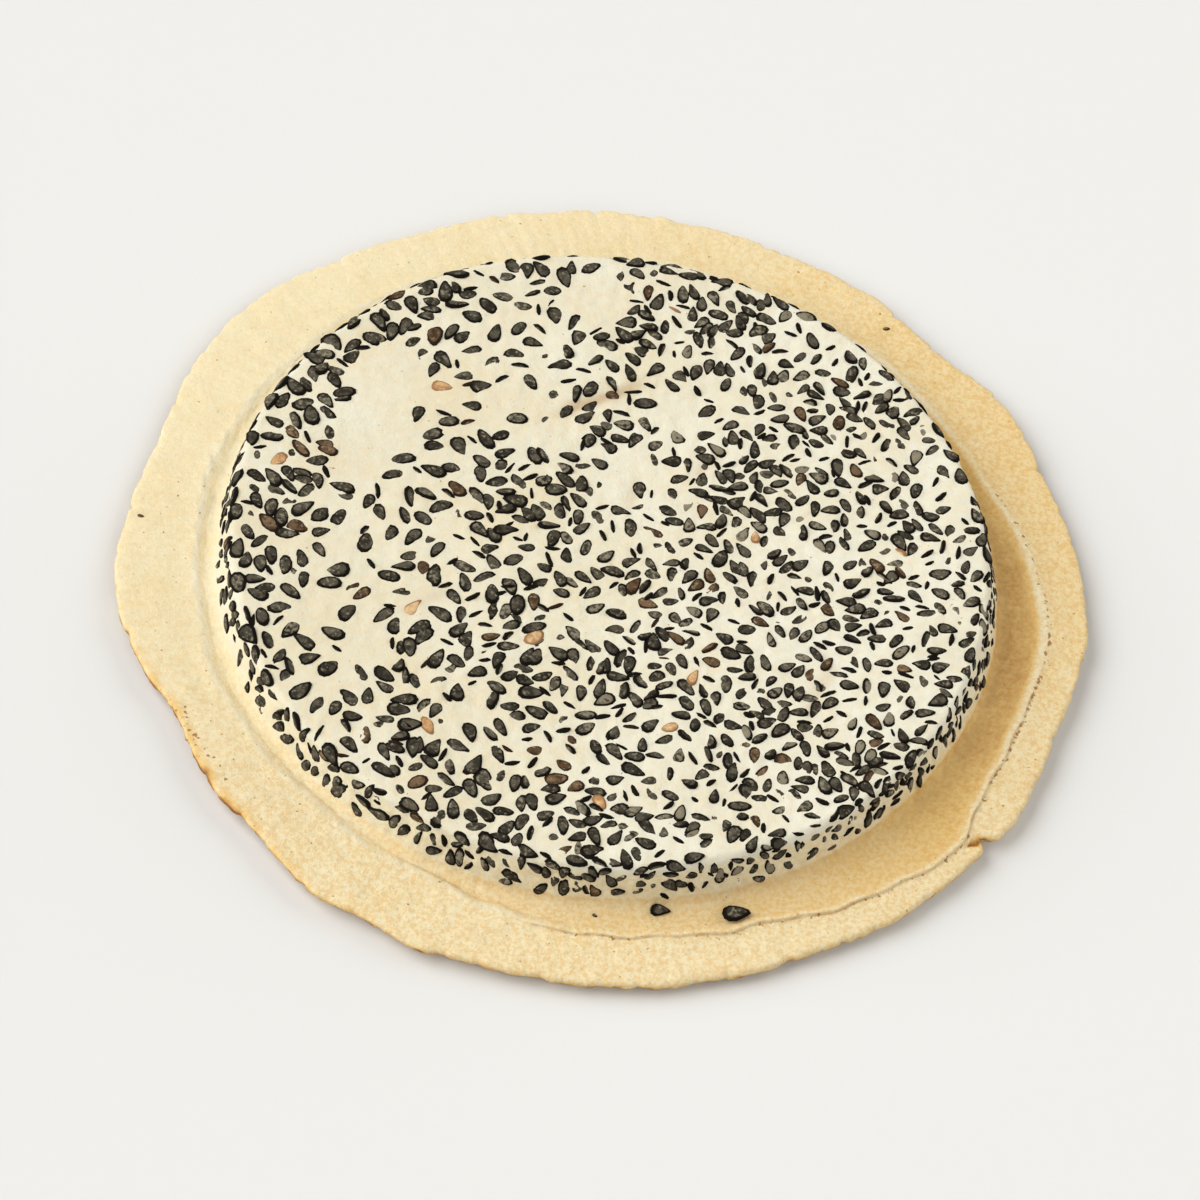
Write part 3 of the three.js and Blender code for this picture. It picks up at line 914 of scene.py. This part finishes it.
def random_place(draw, seeds):
    """A place on the top, often beside an earlier seed, or on the rim or the wall. Gives the point,
    the normal, the heading and how crowded it is. On the rim, seeds lie along it."""
    turn, heading, where = 2 * np.pi * draw(), 2 * np.pi * draw(), draw()
    if where < TOP_SHARE:
        point = round_point(TOP_RADIUS * np.sqrt(draw()), turn, TOP_HEIGHT)
        beside = seeds[int(draw() * len(seeds))]["point"]
        if where < BESIDE_SHARE and beside[2] == TOP_HEIGHT:
            point = beside + round_point(1.3 + 1.2 * draw(), turn, 0)
        inside = np.hypot(*point[:2]) < TOP_RADIUS
        return point, UP, heading, crowding(*point[:2]) * inside
    if where < TOP_SHARE + RIM_SHARE:
        point, normal = rim_place(turn, draw())
        return point, normal, turn + np.pi / 2 + 0.4 * np.sin(heading), crowding(*(0.95 * point[:2]))
    up = draw() ** 0.7
    return *wall_place(turn, up), heading, 0.7 + 0.8 * up


def pick_kind(share, x):
    """The kind whose stretch of 0 to 1 the share falls in, from the shares at this x."""
    right = smoothstep(x, -25, 25)
    for kind, (at_left, at_right) in KINDS.items():
        part = at_left + (at_right - at_left) * right
        if share < part:
            return kind
        share -= part
    return "edgewise"


print("a share of 0.5 is", pick_kind(0.5, -30), "at the left and", pick_kind(0.5, 30), "at the right")

# %% Fill in between
CLEAR_WIDTHS = {"flat": 1.3, "skinned": 1.3, "tilted": 1.1, "edgewise": 0.8}  # millimetres
FILL_TRIES, MOST_SEEDS = 30000, 2600


def fill_seeds(draw, seeds):
    """Adds seeds at random places, kept by chance in step with the crowding, if their footprints
    stay clear of all others by a gap that is drawn too: the smallest let seeds overlap."""
    taken = np.full((MOST_SEEDS * 3, 3), 1e9)
    taken[:3 * len(seeds)] = np.vstack([footprint(seed) for seed in seeds])
    for _ in range(FILL_TRIES):
        point, normal, heading, crowd = random_place(draw, seeds)
        on_wall = normal[2] < 0.5
        size = (0.84 + 0.26 * draw()) * size_at(point[0]) ** 1.1 * (0.76 if on_wall else 1)
        seed = make_seed(point, normal, heading, size, pick_kind(draw(), point[0]))
        chance, closeness = draw(), 0.6 + 0.55 * draw()
        if on_wall:
            closeness = max(closeness, 0.85)
        if chance > crowd or len(seeds) >= MOST_SEEDS:
            continue
        gap = CLEAR_WIDTHS[seed["kind"]] * closeness * size / max(crowd, 0.6) ** 0.6
        spots = footprint(seed)
        nearest = np.linalg.norm(taken[:3 * len(seeds), None] - spots[None], axis=-1).min()
        if nearest >= gap:
            taken[3 * len(seeds):3 * len(seeds) + 3] = spots
            seeds.append(seed)
    return seeds


seeds = fill_seeds(draw, seeds)
kind_counts = {kind: sum(seed["kind"] == kind for seed in seeds) for kind in KINDS}
print("seeds on the disc:", len(seeds), kind_counts)

# %% [markdown]
# ## Strays on the flange
# A few bits come loose before the mould shuts and are baked onto the flange: one whole seed by
# the foot of the wall at the front, a smaller one beside it that sank in by half, and three
# flakes of husk. They are few, so each is placed one by one.

# %% Two seeds and three flakes of husk
LOOSE_PLACE = np.array([19.3, -41.3, FLANGE_TOP - 0.2])
SUNK_PLACE, SUNK_NORMAL = np.array([11.4, -42.4, FLANGE_TOP + 0.1]), np.array([0.2, -0.6, 0.77])
HUSKS = [(57, 49.2, 0.36), (182, 51.0, 0.42), (276, 44.3, 0.22)]  # degrees, mm out, size


def husk_place(angle, distance):
    """A point on the flange, whose height drops and curls in step with the way out."""
    way_out = (distance - FOOT_RADIUS) / 9  # the flange is about 9 mm wide
    height = FLANGE_TOP + way_out * (edge_warp(angle) - EDGE_DROP)
    return np.array([distance * sine(angle + 90), distance * sine(angle), height])


seeds.append(make_seed(LOOSE_PLACE, UP, 0.2, 1.05, "loose"))
seeds.append(make_seed(SUNK_PLACE, SUNK_NORMAL, 0.1, 0.72, "tilted"))
for angle, distance, size in HUSKS:
    seeds.append(make_seed(husk_place(angle, distance), UP, angle, size, "husk"))
print("seeds in all:", len(seeds))

# %% [markdown]
# ## One seed, many times
# A sesame seed is a flat teardrop: blunt at one end, pointed at the other, with a level face. One
# small mesh of four rings is worked out once. Then arrays turn it into all seeds together, each
# with a length, a width, a twist of its outline and a tilt of its own. Linked copies would all
# be alike, so each is real mesh, with few faces. Half-hidden seeds need no cutting: they are
# tilted or sunk, and the dough's surface covers the rest.

# %% The seed's own shape
SIDES = 12
LEVELS = [(0.72, -0.6), (1.0, 0.1), (0.95, 0.62), (0.62, 0.95)]  # size, height, from -1 to 1


def seed_shape():
    """Points as rows of along, across and up, each from -1 to 1, and the cosine of each point's
    turn a: along = cos a and across = sin a, scaled by each level. The middles come last."""
    turn = 2 * np.pi * np.arange(SIDES) / SIDES
    outline = np.stack([np.cos(turn), np.sin(turn)], -1)
    rings = [np.column_stack([scale * outline, np.full(SIDES, height)]) for scale, height in LEVELS]
    cosines = np.concatenate([np.tile(np.cos(turn), len(LEVELS)), [0, 0]])
    return np.vstack([*rings, [[0, 0, -1.0]], [[0, 0, 1.0]]]), cosines


def seed_faces():
    """Quads between the rings, and a fan over the base and over the face."""
    index = np.arange(len(LEVELS) * SIDES).reshape(len(LEVELS), SIDES)
    lower, upper = index[:-1], index[1:]
    quads = np.stack([lower, np.roll(lower, -1, 1), np.roll(upper, -1, 1), upper], -1).reshape(-1, 4)
    base, face = len(LEVELS) * SIDES, len(LEVELS) * SIDES + 1
    first, last = index[0], index[-1]
    under = np.stack([np.roll(first, -1), first, np.full(SIDES, base)], -1)
    over = np.stack([last, np.roll(last, -1), np.full(SIDES, face)], -1)
    return quads, np.vstack([under, over])


SHAPE, COSINES = seed_shape()
SEED_QUADS, SEED_FANS = seed_faces()
print("one seed has", len(SHAPE), "points and", len(SEED_QUADS) + len(SEED_FANS), "faces")

# %% How each kind lies
TILTS = {  # lowest and highest lean in degrees along and across, then how far the seed stands out
    "flat": ((0, 3.5), (0, 4), (0.11, 0.2)),
    "skinned": ((0, 3), (0, 4), (0.01, 0.06)),
    "tilted": ((1, 9), (8, 24), (0.10, 0.22)),
    "edgewise": ((0, 10), (45, 85), (0.08, 0.2)),
    "loose": ((0, 3), (0, 6), (0.75, 0.80)),
    "husk": ((0, 3), (0, 6), (0.02, 0.05)),
}
SIZE_SPREADS = ((0.95, 1.05), (0.78, 1.0), (0.85, 1.1))  # of length, width and thickness


def seed_numbers(seeds, rng):
    """One array for each thing that differs from seed to seed. Each lean and height is low + (high
    - low) times a draw. The thickness doesn't shrink with the size. Dust is a draw to the power
    of 9, so that few seeds have much, and more of them at the right."""
    count = len(seeds)
    keys = ("point", "normal", "heading", "size")
    column = {key: np.array([seed[key] for seed in seeds]) for key in keys}
    low, high = np.moveaxis(np.array([TILTS[seed["kind"]] for seed in seeds]), -1, 0)
    pitch, roll, column["proud"] = (low + (high - low) * rng.uniform(size=(count, 3))).T
    column["pitch"] = np.radians(pitch * rng.choice([-1, 1], count))
    column["roll"] = np.radians(roll * rng.choice([-1, 1], count))
    usual = 0.5 * np.array([SEED_LENGTH, SEED_WIDTH, SEED_THICKNESS])
    longer, wider, thicker = (rng.uniform(*limits, count) for limits in SIZE_SPREADS)
    spread = np.stack([longer, wider, thicker / column["size"]], -1)
    column["half"] = usual * spread * column["size"][:, None]
    column["twist"] = rng.uniform(0, 2 * np.pi, (count, 2))
    column["taper"] = rng.uniform(0.2, 0.55, count)
    column["tone"] = rng.uniform(size=count)
    rightward = smoothstep(column["point"][:, 0], -20, 20)
    column["dust"] = rng.uniform(size=count) ** 9 * (0.4 + 0.6 * rightward)
    return column


rng = np.random.default_rng(5)
numbers = seed_numbers(seeds, rng)
print("the seeds are", (2 * numbers["half"][:, 0]).mean().round(2), "mm long on average")

# %% Place them all at once
HIGHEST = TOP_HEIGHT + 0.36  # millimetres: no seed rises above this
UPWARD = 0.99  # a normal whose z is above this belongs to the top


def seed_axes(column):
    """Directions along, across and up of each seed: the dough's own, leant by pitch and roll.
    Leaning u towards v by an angle a gives u cos a + v sin a and v cos a - u sin a."""
    east, north = dough_axes(column["normal"])
    cos, sin = np.cos(column["heading"])[:, None], np.sin(column["heading"])[:, None]
    along, across, up = cos * east + sin * north, cos * north - sin * east, column["normal"]
    cos, sin = np.cos(column["pitch"])[:, None], np.sin(column["pitch"])[:, None]
    along, up = cos * along + sin * up, cos * up - sin * along
    cos, sin = np.cos(column["roll"])[:, None], np.sin(column["roll"])[:, None]
    across, up = cos * across + sin * up, cos * up - sin * across
    return along, across, up


def seed_points(column):
    """Every seed's points: centre + along x + across y + up z, where y is times 1 - taper cos a,
    which makes one end blunt and the other pointed. The outline swells by two small waves of its
    own, and the centre is sunk so that the highest part stands `proud` of the dough. A seed that
    would rise above HIGHEST is lowered to it."""
    along, across, up = seed_axes(column)
    half = column["half"]
    turn = np.arctan2(SHAPE[:, 1], SHAPE[:, 0])
    first, second = column["twist"][:, :1], column["twist"][:, 1:]
    swell = 1 + 0.05 * np.sin(2 * turn + first) + 0.045 * np.sin(3 * turn + second)
    x, y, z = (SHAPE[:, i] * half[:, i:i + 1] for i in range(3))
    y = y * (1 - column["taper"][:, None] * COSINES)
    normal = column["normal"]
    uprightness = np.stack([np.sum(axis * normal, -1) for axis in (along, across, up)], -1)
    tall = np.linalg.norm(half * uprightness, axis=-1)
    relief = top_relief(*column["point"][:, :2].T) * (normal[:, 2] > UPWARD)
    centre = column["point"] + normal * (column["proud"] - tall + relief)[:, None]
    points = (centre[:, None] + along[:, None] * (x * swell)[..., None]
              + across[:, None] * (y * swell)[..., None] + up[:, None] * z[..., None])
    points[..., 2] -= np.maximum(points[..., 2].max(axis=1) - HIGHEST, 0)[:, None]
    return points


all_points = seed_points(numbers)
print("the highest seed reaches", all_points[..., 2].max().round(2), "mm")

# %% [markdown]
# ## Sorting the seeds by colour
# Nearly all seeds are charcoal. A few are brown and fewer golden, because a sack of black sesame
# is never pure. Where one of these catches the eye, the flat seed nearest to a chosen place takes
# its colour. Chance adds the rest: brown ones anywhere, and golden slivers among the seeds that
# stand on edge. The husk is brown too.

# %% Choose the golden and the brown ones
GOLDEN_PLACES = [
    (-22, 16.5), (17.1, 4.6), (-21.9, -11.5), (-15.6, -26.2), (9.5, -21.6), (3.5, -33.6),
    (-36.5, 5.5), (-5, -13), (10, -15),
]
BROWN_PLACES = [
    (-5.8, -29.4), (-10.8, -15.5), (32, -3.5), (16.9, -6.4), (24.7, -4.5), (28, 4.4), (18.7, -24.8),
]
SLIVER_SHARE, BROWN_SHARE, ON_EDGE = 0.014, 0.04, 0.8  # two chances, and a roll in radians
is_flat = np.array([seed["kind"] == "flat" for seed in seeds])
is_husk = np.array([seed["kind"] == "husk" for seed in seeds])
on_edge = np.abs(numbers["roll"]) > ON_EDGE
on_top = numbers["normal"][:, 2] > UPWARD


def nearest_flat(places):
    """True for the flat seeds that lie nearest to the given places."""
    chosen = np.zeros(len(seeds), bool)
    for place in places:
        distance = np.linalg.norm(numbers["point"][:, :2] - place, axis=1) + 100 * ~is_flat
        chosen[distance.argmin()] = True
    return chosen


slivers = (rng.uniform(size=len(seeds)) < SLIVER_SHARE) & on_edge & on_top
golden = nearest_flat(GOLDEN_PLACES) | slivers
brown_by_chance = rng.uniform(size=len(seeds)) < BROWN_SHARE
brown = (nearest_flat(BROWN_PLACES) | is_husk | brown_by_chance) & ~golden
numbers["dust"][golden | brown] = 0
print("golden seeds:", int(golden.sum()), "and brown ones:", int(brown.sum()))

# %% Three pieces, one for each colour
def join_seeds(name, chosen):
    """One piece from the chosen seeds: the faces repeat, their point numbers going up seed by
    seed, and each point has its share of the level face and its seed's tone and dust."""
    points = all_points[chosen]
    count, each = points.shape[:2]
    shift = (each * np.arange(count))[:, None, None]
    quads = (SEED_QUADS[None] + shift).reshape(-1, 4)
    fans = (SEED_FANS[None] + shift).reshape(-1, 3)
    face = np.tile(smoothstep(SHAPE[:, 2], 0.62, 1.0), count)
    own = {key: np.repeat(numbers[key][chosen], each) for key in ("tone", "dust")}
    return make_piece(name, points.reshape(-1, 3), quads, fans, {"face": face, **own})


seed_pieces = {
    "charcoal_seeds": join_seeds("charcoal_seeds", ~golden & ~brown),
    "brown_seeds": join_seeds("brown_seeds", brown),
    "golden_seeds": join_seeds("golden_seeds", golden),
}

# %% [markdown]
# ## The seeds' finish
# A toasted sesame hull is dull, with a paler, dusty face and a dark rim. The rim is painted near
# black: partly its own dark colour and partly painted shade along the seed's side. The face's
# share and a tone for each seed come from the mesh, so that no two seeds are quite alike. Small
# pale specks are dust and starch on the hull. One function makes all three finishes, because the
# seeds differ only in colour.

# %% The seeds' materials
def seed_material(name, rim, dull, bright, specks):
    """Rim colour at the side, partly the hull's own dark rim and partly painted shade, two face colours
    mixed by each seed's tone, and specks on the face, which spread all over it on a seed with much
    dust."""
    material, tree, shader = new_material(name, 0.65)
    face, tone, dust = (attribute(tree, key) for key in ("face", "tone", "dust"))
    hull = mix_colour(tree, tone, dull, bright)
    mottle = noise(tree, 0.4, 2.0, 0.6)
    hull = mix_colour(tree, span(tree, mottle, 0.4, 0.58, 0.7, 0.0), hull, rim)
    powder = calculate(tree, "ADD", noise(tree, 0.22, 1.0), calculate(tree, "MULTIPLY", dust, 0.4))
    hull = mix_colour(tree, span(tree, powder, 0.58, 0.74, 0.0, 0.55), hull, specks)
    # the near-black rim colour down the side: partly the hull's own, partly painted shade
    colour = mix_colour(tree, span(tree, face, 0.6, 1.0), rim, hull)
    tree.links.new(colour, shader.inputs["Base Color"])
    tree.links.new(bump(tree, mottle, 0.03, 0.8), shader.inputs["Normal"])
    shader.inputs["Specular IOR Level"].default_value = 0.08
    return material


# each rim colour is partly the hull's own dark rim and partly painted shade along the side
FINISHES = {  # colours of the rim, of the dull and the bright face, and of the specks
    "charcoal_seeds": (
        (0.006, 0.004, 0.002), (0.060, 0.052, 0.036), (0.130, 0.114, 0.082), (0.42, 0.37, 0.26)),
    "brown_seeds": (
        (0.025, 0.012, 0.005), (0.10, 0.058, 0.03), (0.24, 0.155, 0.085), (0.45, 0.36, 0.24)),
    "golden_seeds": (
        (0.34, 0.18, 0.08), (0.66, 0.38, 0.17), (0.78, 0.55, 0.30), (0.85, 0.72, 0.50)),
}
for name, piece in seed_pieces.items():
    piece.data.materials.append(seed_material(name + "_hull", *FINISHES[name]))
    print(name, "has the finish", piece.data.materials[0].name)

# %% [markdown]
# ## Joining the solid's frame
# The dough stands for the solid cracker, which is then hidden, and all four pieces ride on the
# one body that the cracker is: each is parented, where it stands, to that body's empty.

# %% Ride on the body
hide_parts("cracker")
for piece in (dough, *seed_pieces.values()):
    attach(piece, "root")

# %% [markdown]
# ## Floor and light
# The cracker lies on a plain pale floor. Most of the light comes as from a broad window at the
# left, so the front of the wall lies in soft shade. Two weaker lamps, at the front and at the
# right, fill it. The background looks paler than it shines, so that it doesn't flatten the light.

# %% The floor
FLOOR_SIDE = 6.0  # metres


def make_floor():
    """A wide level square at the height that the cracker rests on."""
    mesh = bpy.data.meshes.new("floor")
    half = FLOOR_SIDE / 2
    corners = [(-half, -half, 0), (half, -half, 0), (half, half, 0), (-half, half, 0)]
    mesh.from_pydata(corners, [], [(0, 1, 2, 3)])
    floor = bpy.data.objects.new("floor", mesh)
    bpy.context.scene.collection.objects.link(floor)
    material, _, shader = new_material("pale_floor", 0.85)
    shader.inputs["Base Color"].default_value = (0.79, 0.795, 0.79, 1)
    mesh.materials.append(material)
    return floor


make_floor()
print("the floor is", FLOOR_SIDE, "metres wide")

# %% The lamps and the surroundings
LAMPS = {  # turn from +X, height over the floor and width across, in degrees, then strength
    "broad_window": (177, 39, 62, 3.14),
    "front_fill": (288, 43, 50, 0.97),
    "right_fill": (32, 27, 60, 1.34),
}


def make_lamp(name, turn, rise, width, strength):
    """A far lamp that looks `width` degrees across, its light falling from the turn and rise."""
    light = bpy.data.lights.new(name, "SUN")
    light.energy = strength
    light.angle = np.radians(width)
    light.color = (1.0, 0.985, 0.955)
    lamp = bpy.data.objects.new(name, light)
    towards = Vector((sine(turn + 90) * sine(rise + 90), sine(turn) * sine(rise + 90), sine(rise)))
    lamp.rotation_mode = "QUATERNION"
    lamp.rotation_quaternion = towards.to_track_quat("Z", "Y")
    bpy.context.scene.collection.objects.link(lamp)


def make_surroundings():
    """A dim warm glow from all sides, seen by the camera as a pale backdrop."""
    world = bpy.data.worlds.new("surroundings")
    world.use_nodes = True
    tree = world.node_tree
    glow, backdrop = tree.nodes["Background"], tree.nodes.new("ShaderNodeBackground")
    glow.inputs["Color"].default_value = (1.0, 0.94, 0.84, 1)
    glow.inputs["Strength"].default_value = 0.08
    backdrop.inputs["Color"].default_value = (0.88, 0.87, 0.84, 1)
    seen, mix = tree.nodes.new("ShaderNodeLightPath"), tree.nodes.new("ShaderNodeMixShader")
    tree.links.new(seen.outputs["Is Camera Ray"], mix.inputs[0])
    tree.links.new(glow.outputs[0], mix.inputs[1])
    tree.links.new(backdrop.outputs[0], mix.inputs[2])
    tree.links.new(mix.outputs[0], tree.nodes["World Output"].inputs["Surface"])
    bpy.context.scene.world = world


for name, settings in LAMPS.items():
    make_lamp(name, *settings)
make_surroundings()
bpy.context.scene.view_settings.view_transform = "Standard"
print("lamps:", len(LAMPS))

# %% [markdown]
# ## The camera
# It looks down at the cracker from the front, at the angle of the photograph, held a little
# askew so that the cracker's right side sits lower. It stands well back with a long lens, as
# for a product picture, so that the near edge doesn't swell. The lens is worked out from the
# share of the picture that the flange fills.

# %% The camera
CAMERA_RISE, CAMERA_LEAN = 53.0, 9.25  # degrees
CAMERA_DISTANCE = 0.72  # metres
FRAME_FILL = 0.804
AIM = Vector((-0.00035, -0.0031, 0.0025))  # metres


def make_camera():
    """Looks at the cracker's middle from the front. The lens is half the sensor over the tangent
    of half the view, which the flange fills by FRAME_FILL."""
    data = bpy.data.cameras.new("camera")
    camera = bpy.data.objects.new("camera", data)
    bpy.context.scene.collection.objects.link(camera)
    back = Vector((0, -sine(CAMERA_RISE + 90), sine(CAMERA_RISE)))
    lean = Matrix.Rotation(np.radians(CAMERA_LEAN), 3, "Z").to_quaternion()
    camera.rotation_mode = "QUATERNION"
    camera.rotation_quaternion = back.to_track_quat("Z", "Y") @ lean
    camera.location = AIM + back * CAMERA_DISTANCE
    half_view = FLANGE_RADIUS * MM / CAMERA_DISTANCE / FRAME_FILL
    data.lens = data.sensor_width / 2 / half_view
    data.clip_start, data.clip_end = 0.01, 20
    bpy.context.scene.camera = camera
    print("the lens is", round(data.lens, 1), "mm long")


make_camera()
